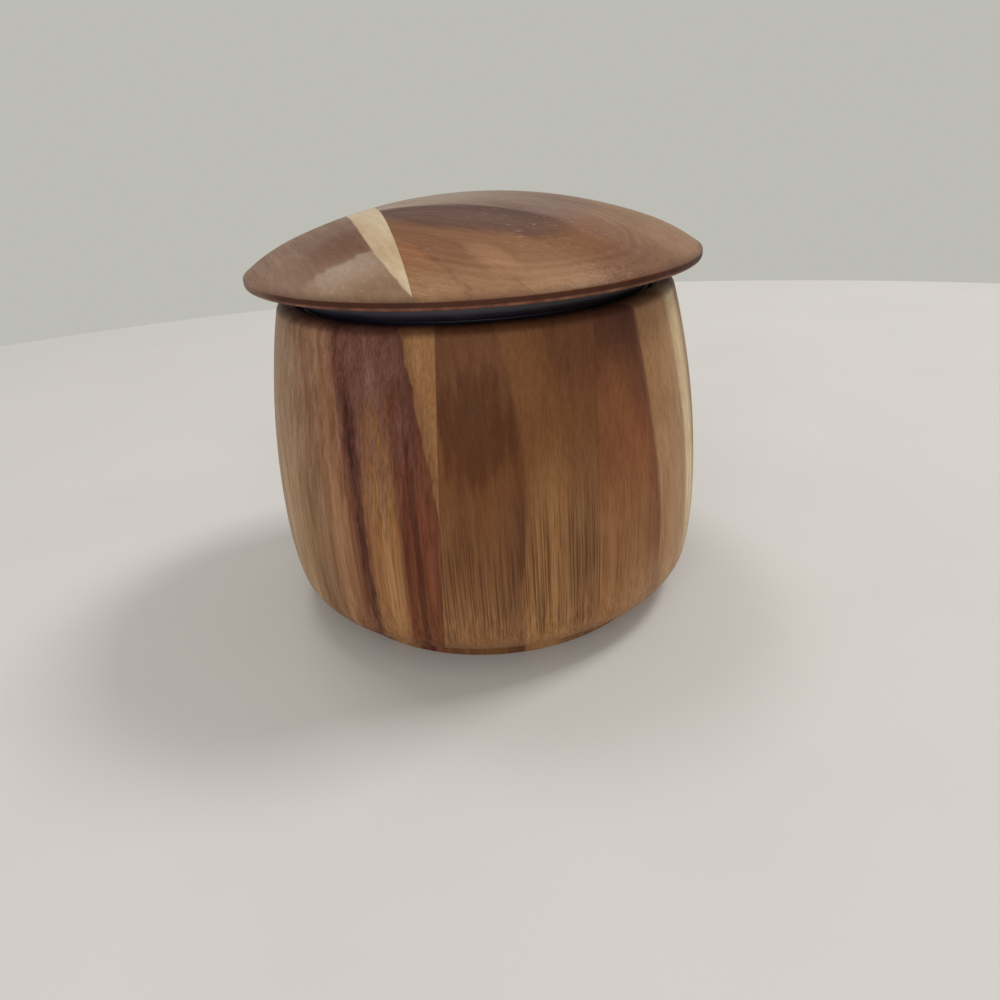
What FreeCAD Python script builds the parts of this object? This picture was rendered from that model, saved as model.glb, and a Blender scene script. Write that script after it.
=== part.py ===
import FreeCAD, Part
import math
import os

# Turned wooden canister with a lift-off domed lid.
# Millimetres, +Z up. The origin is the centre of the foot's underside.

# Canister: one block of three glued boards, turned and bored on the lathe.
BELLY_RADIUS = 60.0          # widest ring of the side
BELLY_HEIGHT = 28.0          # height of that ring above the table
CANISTER_HEIGHT = 87.0       # top of the rim above the table
RIM_SETBACK = 7.9            # the rim's outside lies this far inside the belly
CORNER_SETBACK = 1.1         # where the side starts to turn under, inside the belly
CORNER_RISE = 7.8            # height of that turn above the step over the foot
BASE_SETBACK = 8.0           # the side's lower edge, inside the belly
FOOT_HEIGHT = 5.2            # standing height of the foot ring
FOOT_INSET = 2.5             # step from the side's lower edge in to the foot
FOOT_CHAMFER = 0.8
RIM_WALL = 5.6               # wall thickness at the rim
FLOOR_THICKNESS = 9.0        # wood left under the bore
BORE_CORNER = 6.0            # slope between the bore and its floor
RIM_ROUND = 2.6              # outside of the rim
MOUTH_CHAMFER = 2.0          # lead-in for the seal

# Glue seams of the canister block.
LEFT_SEAM_X = -9.1           # at the rim
LEFT_SEAM_LEAN = 3.6         # degrees, the seam runs outwards on its way down
RIGHT_SEAM_X = 25.0          # upright

# Lid: a shallow dome of two glued boards over a flat underside.
LID_OVERHANG = 6.9           # past the rim's outside
LID_GAP = 5.2                # open height between the rim and the lid's underside
LID_EDGE = 2.0               # height of the thin outer edge
LID_RISE = 15.0              # dome above that edge
SHOULDER_INSET = 11.8        # where the flat crown turns down to the edge
SHOULDER_RISE = 6.45         # height of that ring above the edge
LID_TOP_ARRIS = 0.4
LID_LOWER_ARRIS = 0.7
LID_SEAM_OFFSET = 23.6       # from the lid's centre to its glue seam
LID_SEAM_TURN = 11.6         # degrees, the seam's angle to the canister's seams

# Plug: a turned disc glued under the lid, grooved for the seal.
PLUG_DEPTH = 14.5            # below the lid's underside
PLUG_CLEARANCE = 1.9         # between the plug and the mouth
GROOVE_DEPTH = 1.8
RIDGE_HEIGHT = 2.8           # ridge under the groove, which keeps the seal on
PLUG_CHAMFER = 1.0

# Seal: a moulded silicone ring with a collar over two lips.
SEAL_FIT = 0.1               # running gap between the ring and the plug's groove
SEAL_WALL = 1.7
LIP_CLEARANCE = 0.3          # between the lips and the mouth
LIP_ROOT = 2.2               # height of a lip where it leaves the wall
LIP_TIP = 0.9                # height of its outer edge
LIP_PITCH = 3.4
LOWEST_LIP = 0.4             # above the ring's lower end
COLLAR_REACH = 2.2           # the collar's cover over the edge of the mouth
COLLAR_CHAMFER = 1.8         # its lower outer corner
COLLAR_LIFT = 0.3            # running gap over the rim

RIM_RADIUS = BELLY_RADIUS - RIM_SETBACK
MOUTH_RADIUS = RIM_RADIUS - RIM_WALL
BASE_RADIUS = BELLY_RADIUS - BASE_SETBACK
FOOT_RADIUS = BASE_RADIUS - FOOT_INSET
LID_RADIUS = RIM_RADIUS + LID_OVERHANG
LID_UNDERSIDE = CANISTER_HEIGHT + LID_GAP
LID_EDGE_TOP = LID_UNDERSIDE + LID_EDGE
LID_TOP = LID_EDGE_TOP + LID_RISE
PLUG_RADIUS = MOUTH_RADIUS - PLUG_CLEARANCE
GROOVE_RADIUS = PLUG_RADIUS - GROOVE_DEPTH
PLUG_BOTTOM = LID_UNDERSIDE - PLUG_DEPTH
RIDGE_TOP = PLUG_BOTTOM + RIDGE_HEIGHT


def at(radius, height):
    """A point of a turned outline, in the plane through the axis."""
    return FreeCAD.Vector(radius, 0, height)


def bend(start, heading, end):
    """The arc that leaves start along heading and reaches end, and its heading there."""
    chord = end.sub(start)
    normal = FreeCAD.Vector(-heading.z, 0, heading.x)
    centre = start.add(normal.multiply(chord.dot(chord) / (2 * chord.dot(normal))))
    spoke = start.sub(centre)
    middle = spoke.add(end.sub(centre)).normalize().multiply(spoke.Length)
    along = FreeCAD.Vector(chord).normalize()
    end_heading = along.multiply(2 * heading.dot(along)).sub(heading)
    return Part.Arc(start, centre.add(middle), end).toShape(), end_heading


def straight(*points):
    """The straight edges that join points one after another."""
    return [Part.makeLine(first, last) for first, last in zip(points, points[1:])]


def turned(edges):
    """The solid that a closed outline sweeps about the vertical axis."""
    face = Part.Face(Part.Wire(Part.__sortEdges__(edges)))
    return face.revolve(FreeCAD.Vector(0, 0, 0), FreeCAD.Vector(0, 0, 1), 360)


def rings(solid, radius, height):
    """The circular edges of a turned solid at one radius and height."""
    edges = [edge for edge in solid.Edges if not edge.Degenerated]
    circles = [edge for edge in edges if isinstance(edge.Curve, Part.Circle)]
    return [edge for edge in circles
            if abs(edge.Curve.Radius - radius) < 0.01
            and abs(edge.Curve.Center.z - height) < 0.01]


def side_of(point, normal):
    """A block that fills the side of a plane which its normal points away from."""
    size = 6 * (BELLY_RADIUS + LID_TOP)
    block = Part.makeBox(size, size, size, FreeCAD.Vector(-size, -size / 2, -size / 2))
    turn = FreeCAD.Rotation(FreeCAD.Vector(1, 0, 0), normal)
    block.Placement = FreeCAD.Placement(point, turn).multiply(block.Placement)
    return block


def side_outline():
    """Outside of the canister from its lower edge over the belly up to the rim."""
    lower = at(BASE_RADIUS, FOOT_HEIGHT)
    corner = at(BELLY_RADIUS - CORNER_SETBACK, FOOT_HEIGHT + CORNER_RISE)
    belly = at(BELLY_RADIUS, BELLY_HEIGHT)
    rim = at(RIM_RADIUS, CANISTER_HEIGHT)
    shoulder, _ = bend(belly, FreeCAD.Vector(0, 0, 1), rim)
    flank, under = bend(belly, FreeCAD.Vector(0, 0, -1), corner)
    corner_round, _ = bend(corner, under, lower)
    return [corner_round, flank, shoulder]


def canister():
    """The whole turned vessel: belly, foot, soft rim and straight bore."""
    outline = side_outline() + straight(
        at(RIM_RADIUS, CANISTER_HEIGHT),
        at(MOUTH_RADIUS, CANISTER_HEIGHT),
        at(MOUTH_RADIUS, FLOOR_THICKNESS),
        at(0, FLOOR_THICKNESS),
        at(0, 0),
        at(FOOT_RADIUS, 0),
        at(FOOT_RADIUS, FOOT_HEIGHT),
        at(BASE_RADIUS, FOOT_HEIGHT))
    vessel = turned(outline)
    vessel = vessel.makeFillet(RIM_ROUND, rings(vessel, RIM_RADIUS, CANISTER_HEIGHT))
    vessel = vessel.makeChamfer(MOUTH_CHAMFER, rings(vessel, MOUTH_RADIUS, CANISTER_HEIGHT))
    vessel = vessel.makeChamfer(BORE_CORNER, rings(vessel, MOUTH_RADIUS, FLOOR_THICKNESS))
    return vessel.makeChamfer(FOOT_CHAMFER, rings(vessel, FOOT_RADIUS, 0))


def canister_boards():
    """The vessel parted at its two glue seams."""
    lean = math.radians(LEFT_SEAM_LEAN)
    left_plane = FreeCAD.Vector(math.cos(lean), 0, -math.sin(lean))
    left_side = side_of(at(LEFT_SEAM_X, CANISTER_HEIGHT), left_plane)
    right_side = side_of(at(RIGHT_SEAM_X, 0), FreeCAD.Vector(-1, 0, 0))
    vessel = canister()
    return {
        "canister_board_left": vessel.common(left_side),
        "canister_board_middle": vessel.cut(left_side).cut(right_side),
        "canister_board_right": vessel.common(right_side),
    }


def lid():
    """The whole turned dome, with its thin edge and flat underside."""
    top = at(0, LID_TOP)
    shoulder = at(LID_RADIUS - SHOULDER_INSET, LID_EDGE_TOP + SHOULDER_RISE)
    edge_top = at(LID_RADIUS, LID_EDGE_TOP)
    crown, falling = bend(top, FreeCAD.Vector(1, 0, 0), shoulder)
    brow, _ = bend(shoulder, falling, edge_top)
    dome = turned([crown, brow] + straight(
        edge_top, at(LID_RADIUS, LID_UNDERSIDE), at(0, LID_UNDERSIDE), top))
    dome = dome.makeChamfer(LID_TOP_ARRIS, rings(dome, LID_RADIUS, LID_EDGE_TOP))
    return dome.makeChamfer(LID_LOWER_ARRIS, rings(dome, LID_RADIUS, LID_UNDERSIDE))


def lid_boards():
    """The dome parted at its glue seam."""
    turn = math.radians(LID_SEAM_TURN)
    across = FreeCAD.Vector(math.cos(turn), math.sin(turn), 0)
    left_side = side_of(across * -LID_SEAM_OFFSET, across)
    dome = lid()
    return {
        "lid_board_left": dome.common(left_side),
        "lid_board_right": dome.cut(left_side),
    }


def lid_plug():
    """The disc under the lid: a groove for the seal and a ridge that keeps it on."""
    return turned(straight(
        at(0, LID_UNDERSIDE),
        at(GROOVE_RADIUS, LID_UNDERSIDE),
        at(GROOVE_RADIUS, RIDGE_TOP),
        at(PLUG_RADIUS, RIDGE_TOP),
        at(PLUG_RADIUS, PLUG_BOTTOM + PLUG_CHAMFER),
        at(PLUG_RADIUS - PLUG_CHAMFER, PLUG_BOTTOM),
        at(0, PLUG_BOTTOM),
        at(0, LID_UNDERSIDE)))


def lip(root, tip, height):
    """The outline of one lip, from its lower root to its upper one."""
    slope = (LIP_ROOT - LIP_TIP) / 2
    return [at(root, height),
            at(tip, height + slope),
            at(tip, height + slope + LIP_TIP),
            at(root, height + LIP_ROOT)]


def seal_ring():
    """The ring in the plug's groove: its collar covers the edge of the mouth."""
    inner = GROOVE_RADIUS + SEAL_FIT
    outer = inner + SEAL_WALL
    tip = MOUTH_RADIUS - LIP_CLEARANCE
    collar = MOUTH_RADIUS + COLLAR_REACH
    bottom = RIDGE_TOP + SEAL_FIT
    top = LID_UNDERSIDE - SEAL_FIT
    collar_foot = CANISTER_HEIGHT + COLLAR_LIFT
    points = [at(inner, bottom), at(outer, bottom)]
    lowest = bottom + LOWEST_LIP
    for height in (lowest, lowest + LIP_PITCH):
        points += lip(outer, tip, height)
    points += [at(outer, collar_foot),
               at(collar - COLLAR_CHAMFER, collar_foot),
               at(collar, collar_foot + COLLAR_CHAMFER),
               at(collar, top),
               at(inner, top),
               points[0]]
    return turned(straight(*points))


def main():
    nodes = {**canister_boards(), **lid_boards(),
             "lid_plug": lid_plug(), "seal_ring": seal_ring()}
    os.makedirs("parts", exist_ok=True)
    for name, shape in nodes.items():
        solid = shape.Solids[0]
        solid.exportStep(f"parts/{name}.step")
        print(name, len(shape.Solids), "solid", round(solid.Volume / 1000, 1), "ml")


main()
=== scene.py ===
"""Turned acacia canister with a lift-off domed lid: its visible surfaces, its floor and its light.

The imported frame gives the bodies. Lengths are millimetres until a mesh is made from them.
"""
import math

import bmesh
import bpy
import numpy as np
from mathutils import Matrix


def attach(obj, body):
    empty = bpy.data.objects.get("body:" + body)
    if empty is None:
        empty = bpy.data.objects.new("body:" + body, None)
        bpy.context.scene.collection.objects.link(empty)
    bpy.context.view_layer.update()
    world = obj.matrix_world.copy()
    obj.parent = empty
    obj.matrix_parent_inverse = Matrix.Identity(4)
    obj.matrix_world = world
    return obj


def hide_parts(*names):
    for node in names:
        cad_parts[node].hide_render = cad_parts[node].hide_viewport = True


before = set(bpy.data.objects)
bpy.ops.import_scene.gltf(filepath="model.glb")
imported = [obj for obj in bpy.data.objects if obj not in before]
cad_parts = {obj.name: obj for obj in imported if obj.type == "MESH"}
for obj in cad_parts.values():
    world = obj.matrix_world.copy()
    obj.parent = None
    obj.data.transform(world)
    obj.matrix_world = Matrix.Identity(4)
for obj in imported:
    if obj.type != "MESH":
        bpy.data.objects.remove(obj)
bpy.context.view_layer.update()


# ---------------------------------------------------------------- left board of the canister
# The left of the three acacia boards that are face-glued into one block, then turned and bored
# together. Its rings stand nearly square to the front: straw and tan heartwood, a dark vein, a
# red-brown band, and a wedge of sapwood that runs out against the glue seam.

CANISTER_HEIGHT = 87.0
BELLY_RADIUS, BELLY_HEIGHT = 60.0, 28.0
RIM_RADIUS, MOUTH_RADIUS = 52.1, 46.5
CORNER_RADIUS, CORNER_HEIGHT = 58.9, 13.0
BASE_RADIUS, FOOT_RADIUS, FOOT_HEIGHT = 52.0, 49.5, 5.2
FLOOR_TOP, BORE_CORNER = 9.0, 6.0
RIM_ROUND, MOUTH_ROUND = 2.6, 2.2
BASE_ROUND, FOOT_TOP_ROUND, FOOT_ROUND = 0.5, 0.3, 0.8
LEFT_SEAM_X, RIGHT_SEAM_X = -9.1, 25.0
LEFT_SEAM_SLOPE = math.tan(math.radians(3.6))
LEFT_SEAM = ((1, 0, -LEFT_SEAM_SLOPE), LEFT_SEAM_SLOPE * CANISTER_HEIGHT - LEFT_SEAM_X)
RIGHT_SEAM = ((1, 0, 0), -RIGHT_SEAM_X)
TOUCHING, MERGED_WITHIN, SHARP_FROM = 1e-6, 2e-4, 40


def along_arc(start, heading, end, count):
    """Points of the arc that leaves start along heading and reaches end, and its last heading.

    The arc turns by twice the angle between the heading and the chord, about the point that lies
    square to the heading and equally far from both ends.
    """
    start, heading, end = (np.array(place, float) for place in (start, heading, end))
    chord = end - start
    normal = np.array([-heading[1], heading[0]])
    centre = start + normal * (chord @ chord) / (2 * (chord @ normal))
    turn = 2 * math.atan2(chord @ normal, chord @ heading)
    angle = np.linspace(0, turn, count)[:, None]
    spoke = start - centre
    square = np.array([-spoke[1], spoke[0]])
    points = centre + np.cos(angle) * spoke + np.sin(angle) * square
    last = math.cos(turn) * heading + math.sin(turn) * np.array([-heading[1], heading[0]])
    return points, last


def sharp(points):
    """Outline points with no rounding: (radius, height, 0)."""
    return np.column_stack([points, np.zeros(len(points))])


def softened(corners, steps=7, longest=2.5):
    """An outline of (radius, height) from corners of (radius, height, rounding).

    A rounded corner becomes the arc that touches both of its runs: it starts and ends at
    rounding / tan(half the corner's angle) from the corner. Long runs are then divided evenly.
    """
    corners = np.asarray(corners, float)
    parts = [corners[:1, :2]]
    for before, corner, after in zip(corners, corners[1:], corners[2:]):
        if corner[2] == 0:
            parts.append(corner[None, :2])
            continue
        back, on = before[:2] - corner[:2], after[:2] - corner[:2]
        back, on = back / np.linalg.norm(back), on / np.linalg.norm(on)
        reach = corner[2] / math.tan(math.acos(np.clip(back @ on, -1, 1)) / 2)
        parts.append(along_arc(corner[:2] + back * reach, -back, corner[:2] + on * reach, steps)[0])
    parts.append(corners[-1:, :2])
    outline = np.vstack(parts)
    pieces = np.maximum(np.ceil(np.linalg.norm(np.diff(outline, axis=0), axis=1) / longest), 1)
    stops = np.concatenate([[0], np.cumsum(pieces)])
    at = np.arange(int(stops[-1]) + 1)
    return np.column_stack([np.interp(at, stops, column) for column in outline.T])


def with_crossings(outline, gap):
    """The outline with a point added wherever gap, a function of its points, changes sign."""
    values = gap(outline)
    turns = np.nonzero(values[:-1] * values[1:] < 0)[0]
    share = (values[turns] / (values[turns] - values[turns + 1]))[:, None]
    added = outline[turns] + share * (outline[turns + 1] - outline[turns])
    return np.insert(outline, turns + 1, added, axis=0)


def added(name, data):
    """An object with that mesh, lamp or camera, linked into the scene."""
    made = bpy.data.objects.new(name, data)
    bpy.context.scene.collection.objects.link(made)
    return made


def turned_piece(name, material, outline, low=-math.inf, high=math.inf, columns=48, turn=0.0):
    """The part of a turned solid between two planes that face along x, low and high.

    Each outline point (radius r, height z) gives the ring x = r cos a, y = -r sin a in front and
    y = r sin a behind, where a runs from acos(high / r) to acos(low / r), closer at both ends.
    Where the front and back halves stay apart, a flat face joins them along the plane. The piece
    is then turned about the vertical by an angle in degrees.
    """
    radius, height = outline.T
    low, high = np.broadcast_to(low, radius.shape), np.broadcast_to(high, radius.shape)
    kept = (low <= radius + TOUCHING) & (-radius <= high + TOUCHING)
    radius, height, low, high = radius[kept], height[kept], low[kept], high[kept]
    reach = np.maximum(radius, TOUCHING / 1000)
    first = np.arccos(np.clip(high / reach, -1, 1))[:, None]
    last = np.arccos(np.clip(low / reach, -1, 1))[:, None]
    share = 0.5 - 0.5 * np.cos(np.linspace(0, math.pi, columns + 1))
    angle = first + (last - first) * share
    x, y = radius[:, None] * np.cos(angle), radius[:, None] * np.sin(angle)
    z = np.broadcast_to(height[:, None], x.shape)
    half = np.stack([x, -y, z], axis=2).reshape(-1, 3)
    points = np.vstack([half, half * [1, -1, 1]]) / 1000
    cos, sin = math.cos(math.radians(turn)), math.sin(math.radians(turn))
    spin = np.array([[cos, sin, 0], [-sin, cos, 0], [0, 0, 1]])
    index = np.arange(len(half)).reshape(x.shape)
    quads = np.stack([index[:-1, :-1], index[:-1, 1:], index[1:, 1:], index[1:, :-1]], axis=2)
    quads = quads.reshape(-1, 4)
    faces = quads.tolist() + (quads[:, ::-1] + len(half)).tolist()
    for limit, column in ((high, 0), (low, -1)):
        edge = index[np.abs(limit) <= radius + TOUCHING, column]
        if len(edge):
            faces.append(np.concatenate([edge, edge[::-1] + len(half)]).tolist())
    mesh = bpy.data.meshes.new(name)
    mesh.from_pydata((points @ spin).tolist(), [], faces)
    shape = bmesh.new()
    shape.from_mesh(mesh)
    bmesh.ops.remove_doubles(shape, verts=shape.verts, dist=MERGED_WITHIN / 1000)
    bmesh.ops.recalc_face_normals(shape, faces=shape.faces)
    shape.to_mesh(mesh)
    shape.free()
    mesh.polygons.foreach_set("use_smooth", np.ones(len(mesh.polygons), bool))
    mesh.set_sharp_from_angle(angle=math.radians(SHARP_FROM))
    mesh.materials.append(material)
    return added(name, mesh)


def left_seam(height):
    """The left seam's x: it leans outwards on its way down from the rim."""
    return LEFT_SEAM_X - LEFT_SEAM_SLOPE * (CANISTER_HEIGHT - height)


def canister_outline():
    """From the middle of the bore's floor over the rim, down the side and under the foot.

    The side is three arcs that run on from one another: rim to belly, belly to corner, corner to
    lower edge. The belly's arcs are upright where they meet. The last points of the first and
    third arcs are left out, because they lie inside the rounding that follows.
    """
    belly, corner = (BELLY_RADIUS, BELLY_HEIGHT), (CORNER_RADIUS, CORNER_HEIGHT)
    shoulder, _ = along_arc(belly, (0, 1), (RIM_RADIUS, CANISTER_HEIGHT), count=36)
    flank, under = along_arc(belly, (0, -1), corner, count=12)
    bottom, _ = along_arc(corner, under, (BASE_RADIUS, FOOT_HEIGHT), count=14)
    inside = [(0, FLOOR_TOP, 0), (MOUTH_RADIUS, FLOOR_TOP, BORE_CORNER),
              (MOUTH_RADIUS, CANISTER_HEIGHT, MOUTH_ROUND),
              (RIM_RADIUS, CANISTER_HEIGHT, RIM_ROUND)]
    foot = [(BASE_RADIUS, FOOT_HEIGHT, BASE_ROUND), (FOOT_RADIUS, FOOT_HEIGHT, FOOT_TOP_ROUND),
            (FOOT_RADIUS, 0, FOOT_ROUND), (0, 0, 0)]
    rows = np.vstack([inside, sharp(shoulder[-4:0:-1]), sharp(flank), sharp(bottom[1:-2]), foot])
    outline = with_crossings(softened(rows), lambda p: p[:, 0] - np.abs(left_seam(p[:, 1])))
    return with_crossings(outline, lambda p: p[:, 0] - RIGHT_SEAM_X)


def tone(red, green, blue):
    """A colour written as it looks, from 0 to 255, as the linear colour that a node takes."""
    shown = np.array([red, green, blue]) / 255
    linear = np.where(shown < 0.04045, shown / 12.92, ((shown + 0.055) / 1.055) ** 2.4)
    return (*linear.tolist(), 1.0)


def feed(tree, socket, value):
    """Joins a socket to an output, or sets it to a plain value; None leaves it as it is."""
    if isinstance(value, bpy.types.NodeSocket):
        tree.links.new(value, socket)
    elif value is not None:
        socket.default_value = value


def fed(tree, made, **values):
    """The node, with some of its inputs set by name."""
    for label, value in values.items():
        feed(tree, made.inputs[label.replace("_", " ")], value)
    return made


def node(tree, kind, *values, **settings):
    """A node whose inputs, in their order, take sockets or plain values."""
    made = tree.nodes.new(kind)
    for key, setting in settings.items():
        setattr(made, key, setting)
    for socket, value in zip(made.inputs, values):
        feed(tree, socket, value)
    return made


def calc(tree, operation, *values):
    """One sum on numbers."""
    return node(tree, "ShaderNodeMath", *values, operation=operation).outputs[0]


def times(tree, first, *others):
    """The product of numbers."""
    for other in others:
        first = calc(tree, "MULTIPLY", first, other)
    return first


def most(tree, first, *others):
    """The largest of numbers."""
    for other in others:
        first = calc(tree, "MAXIMUM", first, other)
    return first


def scaled(tree, value, factor, base):
    """factor times a value, plus base."""
    return calc(tree, "MULTIPLY_ADD", value, factor, base)


def nudged(tree, base, noise, amount):
    """base plus amount times a noise, taken about its middle."""
    return scaled(tree, calc(tree, "SUBTRACT", noise, 0.5), amount, base)


def vector(tree, operation, *values, output=0):
    """One sum on vectors."""
    return node(tree, "ShaderNodeVectorMath", *values, operation=operation).outputs[output]


def ramp(tree, value, start, end):
    """0 up to start, 1 from end, and even between them."""
    return node(tree, "ShaderNodeMapRange", value, start, end, 0.0, 1.0).outputs[0]


def ease(tree, value, start, end, low=0.0, high=1.0):
    """low below start, high above end, and a smooth step between them."""
    return node(tree, "ShaderNodeMapRange", value, start, end, low, high,
                interpolation_type="SMOOTHSTEP").outputs[0]


def mixed(tree, share, first, second):
    """Two colours, by share."""
    made = node(tree, "ShaderNodeMix", data_type="RGBA")
    for number, value in ((0, share), (6, first), (7, second)):
        feed(tree, made.inputs[number], value)
    return made.outputs[2]


def tinted(tree, colour, share, red, green, blue):
    """A colour turned by share towards a tone."""
    return mixed(tree, share, colour, tone(red, green, blue))


def cloud(tree, place, size, detail=2.0, roughness=0.5):
    """Soft noise whose lumps are size millimetres along x, y and z: its value and its colour."""
    finer = vector(tree, "MULTIPLY", place, tuple(1 / s for s in size))
    made = node(tree, "ShaderNodeTexNoise", finer)
    return fed(tree, made, Scale=1.0, Detail=detail, Roughness=roughness).outputs


def from_middle(tree, place, middle, size):
    """The distance from a point, in a size for each axis; an endless size leaves its axis out."""
    away = vector(tree, "SUBTRACT", place, middle)
    away = vector(tree, "MULTIPLY", away, tuple(1 / s for s in size))
    return vector(tree, "LENGTH", away, output="Value")


def banded(tree, value, bands):
    """The colour of each place across the grain, from rows of millimetres, red, green and blue."""
    first, last = bands[0][0], bands[-1][0]
    made = node(tree, "ShaderNodeValToRGB", ramp(tree, value, first, last))
    stops = made.color_ramp.elements
    stops[0].color, stops[1].color = tone(*bands[0][1:]), tone(*bands[-1][1:])
    for place, *seen in bands[1:-1]:
        stops.new((place - first) / (last - first)).color = tone(*seen)
    return made.outputs[0]


def group_of(name, inputs, outputs):
    """An empty shader node group: its tree, and its new sockets for values in and values out."""
    tree = bpy.data.node_groups.new(name, "ShaderNodeTree")
    for label, kind, value in inputs:
        socket = tree.interface.new_socket(label, in_out="INPUT", socket_type=kind)
        if value is not None:
            socket.default_value = value
    for label, kind in outputs:
        tree.interface.new_socket(label, in_out="OUTPUT", socket_type=kind)
    return tree, tree.nodes.new("NodeGroupInput").outputs, tree.nodes.new("NodeGroupOutput").inputs


def placed(tree, group, **values):
    """A group in a material, with its inputs set by name: its outputs."""
    return fed(tree, node(tree, "ShaderNodeGroup", node_tree=group), **values).outputs


NUMBER, VECTOR, COLOUR = "NodeSocketFloat", "NodeSocketVector", "NodeSocketColor"


def grain_group():
    """Where a place lies in the tree: rings stand across x and y, fibres run along z.

    Across and Depth are x and y in millimetres, bent by a slow and a quick noise that are drawn
    out along the grain, so rings wander and fibres follow them. Ring is a noise of the distance
    through the rings alone, which Stack turns from x to y. Streak and Fibre are noises of 1.8 and
    0.4 mm drawn out along the grain. Pore is 1 inside scattered open vessels, the long thin cells
    round chosen points; Line is 1 along close rows of vessels, the crests of a fine drawn-out
    noise that a broader one thins. Mottle is a broad uneven stain.
    """
    tree, given, result = group_of(
        "acacia_grain",
        [("Place", VECTOR, None), ("Lean", NUMBER, 0.0), ("Sway", NUMBER, 1.0),
         ("Seed", NUMBER, 0.0), ("Stack", NUMBER, 0.0), ("Pore Width", NUMBER, 0.26)],
        [("Across", NUMBER), ("Depth", NUMBER), ("Ring", NUMBER), ("Streak", NUMBER),
         ("Fibre", NUMBER), ("Pore", NUMBER), ("Line", NUMBER), ("Mottle", NUMBER)])
    slow_lumps, quick_lumps, mottle_lumps = (42, 42, 130), (9, 9, 46), (16, 16, 34)
    streak_lumps, fibre_lumps, row_lumps = (1.8, 1.8, 95), (0.4, 0.4, 15), (0.33, 0.33, 36)
    vessel_cell, vessel_groups = (0.6, 0.6, 15), (3.5, 3.5, 28)
    shift = node(tree, "ShaderNodeCombineXYZ", *[given["Seed"]] * 3).outputs[0]
    apart = node(tree, "ShaderNodeSeparateXYZ", given["Place"]).outputs
    seeded = vector(tree, "ADD", given["Place"], shift)
    slow, quick = (
        node(tree, "ShaderNodeSeparateColor", cloud(tree, seeded, size, detail)[1]).outputs
        for size, detail in ((slow_lumps, 1.0), (quick_lumps, 2.0)))
    bent = []
    for axis in (0, 1):
        wander = nudged(tree, calc(tree, "SUBTRACT", quick[axis], 0.5), slow[axis], 3.4)
        bent.append(scaled(tree, wander, given["Sway"], apart[axis]))
    across = scaled(tree, apart[2], given["Lean"], bent[0])
    woody = node(tree, "ShaderNodeCombineXYZ", across, bent[1], apart[2]).outputs[0]
    woody = vector(tree, "ADD", woody, shift)
    through = scaled(tree, calc(tree, "SUBTRACT", bent[1], across), given["Stack"], across)
    through = calc(tree, "ADD", through, given["Seed"])
    ring = fed(tree, node(tree, "ShaderNodeTexNoise", noise_dimensions="1D"),
               W=through, Scale=0.55, Detail=3.0, Roughness=0.65)
    cells = vector(tree, "MULTIPLY", woody, tuple(1 / size for size in vessel_cell))
    vessels = fed(tree, node(tree, "ShaderNodeTexVoronoi", cells), Scale=1.0).outputs
    chosen = node(tree, "ShaderNodeSeparateColor", vessels["Color"]).outputs[0]
    width = times(tree, given["Pore Width"], ease(tree, chosen, 0.25, 0.9))
    thinned = ease(tree, cloud(tree, woody, vessel_groups, 1.0)[0], 0.35, 0.6, -0.05, 0.03)
    crest = calc(tree, "ADD", cloud(tree, woody, row_lumps, 0.6)[0], thinned)
    made = {
        "Across": across,
        "Depth": bent[1],
        "Ring": ease(tree, ring.outputs[0], 0.28, 0.72),
        "Streak": ease(tree, cloud(tree, woody, streak_lumps, 3.0, 0.55)[0], 0.28, 0.72),
        "Fibre": ease(tree, cloud(tree, woody, fibre_lumps, 1.0)[0], 0.28, 0.72),
        "Pore": ramp(tree, vessels["Distance"], width, times(tree, width, 0.45)),
        "Line": ease(tree, crest, 0.53, 0.63),
        "Mottle": ease(tree, cloud(tree, seeded, mottle_lumps, 3.0)[0], 0.3, 0.7)}
    for label, value in made.items():
        tree.links.new(value, result[label])
    return tree


def oiled_group():
    """Oiled and sanded wood: the board's tone with its streaks, fibres, stains and open vessels.

    The tone is lightened or darkened by the sum of ring, streak, fibre and mottle about their
    middle, each by its own share, and more so in blue than in red, which keeps dark wood warm.
    Vessels turn it towards Vein, are rougher and lie deeper.
    """
    tree, given, result = group_of(
        "oiled_wood",
        [("Tone", COLOUR, None), ("Vein", COLOUR, tone(54, 29, 17)), ("Ring", NUMBER, 0.5),
         ("Streak", NUMBER, 0.5), ("Fibre", NUMBER, 0.5), ("Pore", NUMBER, 0.0),
         ("Mottle", NUMBER, 0.5), ("Ringing", NUMBER, 0.25), ("Streaking", NUMBER, 0.4),
         ("Fibring", NUMBER, 0.3), ("Staining", NUMBER, 0.2), ("Veining", NUMBER, 0.5),
         ("Gloss", NUMBER, 0.46)],
        [("Color", COLOUR), ("Roughness", NUMBER), ("Height", NUMBER)])
    level = 1.0
    for what, share in (("Ring", "Ringing"), ("Streak", "Streaking"), ("Fibre", "Fibring"),
                        ("Mottle", "Staining")):
        level = nudged(tree, level, given[what], given[share])
    red_green_blue_powers = (0.8, 1.05, 1.3)
    by_channel = [calc(tree, "POWER", level, power) for power in red_green_blue_powers]
    by_channel = node(tree, "ShaderNodeCombineXYZ", *by_channel).outputs[0]
    lit = vector(tree, "MULTIPLY", given["Tone"], by_channel)
    opened = times(tree, given["Pore"], given["Veining"])
    tree.links.new(mixed(tree, opened, lit, given["Vein"]), result["Color"])
    rough = scaled(tree, given["Streak"], -0.06, calc(tree, "ADD", given["Gloss"], 0.03))
    tree.links.new(scaled(tree, given["Pore"], 0.25, rough), result["Roughness"])
    relief = scaled(tree, given["Fibre"], 0.25, times(tree, given["Streak"], 0.12))
    tree.links.new(scaled(tree, given["Pore"], -0.8, relief), result["Height"])
    return tree


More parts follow.
